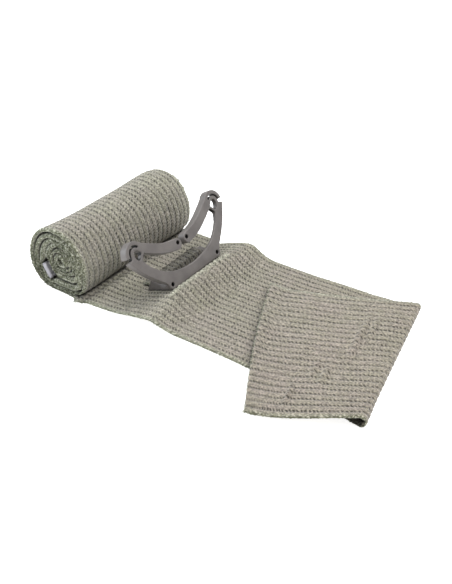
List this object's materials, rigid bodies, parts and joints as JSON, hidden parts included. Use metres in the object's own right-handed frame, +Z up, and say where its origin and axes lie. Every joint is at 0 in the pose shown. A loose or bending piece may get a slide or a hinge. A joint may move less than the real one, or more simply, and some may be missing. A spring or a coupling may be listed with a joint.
{
  "type": "emergency trauma bandage with moulded pressure applicator",
  "caption": "Knitted elastic emergency bandage, part rolled up, its strip running to a folded-back flap, with a moulded plastic pressure applicator standing on it.",
  "frame": {"origin": "bottom centre of the whole thing's box, on the surface that it lies on", "axes": "+Z up; +X along the strip, from the roll to the flap's fold; +Y along the roll's axis, towards its far end"},
  "size_m": [0.2226, 0.1384, 0.0396],
  "materials": {
    "knit": "ribbed elastic knit, light beige grey with dark stitches in the grooves and an olive tinge at the edges",
    "moulding": "satin warm grey moulded plastic",
    "bar_plastic": "smooth light grey plastic"
  },
  "bodies": {
    "root": {"wrap": "knit", "foot_strap": "knit", "pressure_applicator": "moulding", "closure_bar": "bar_plastic"}
  },
  "joints": []
}
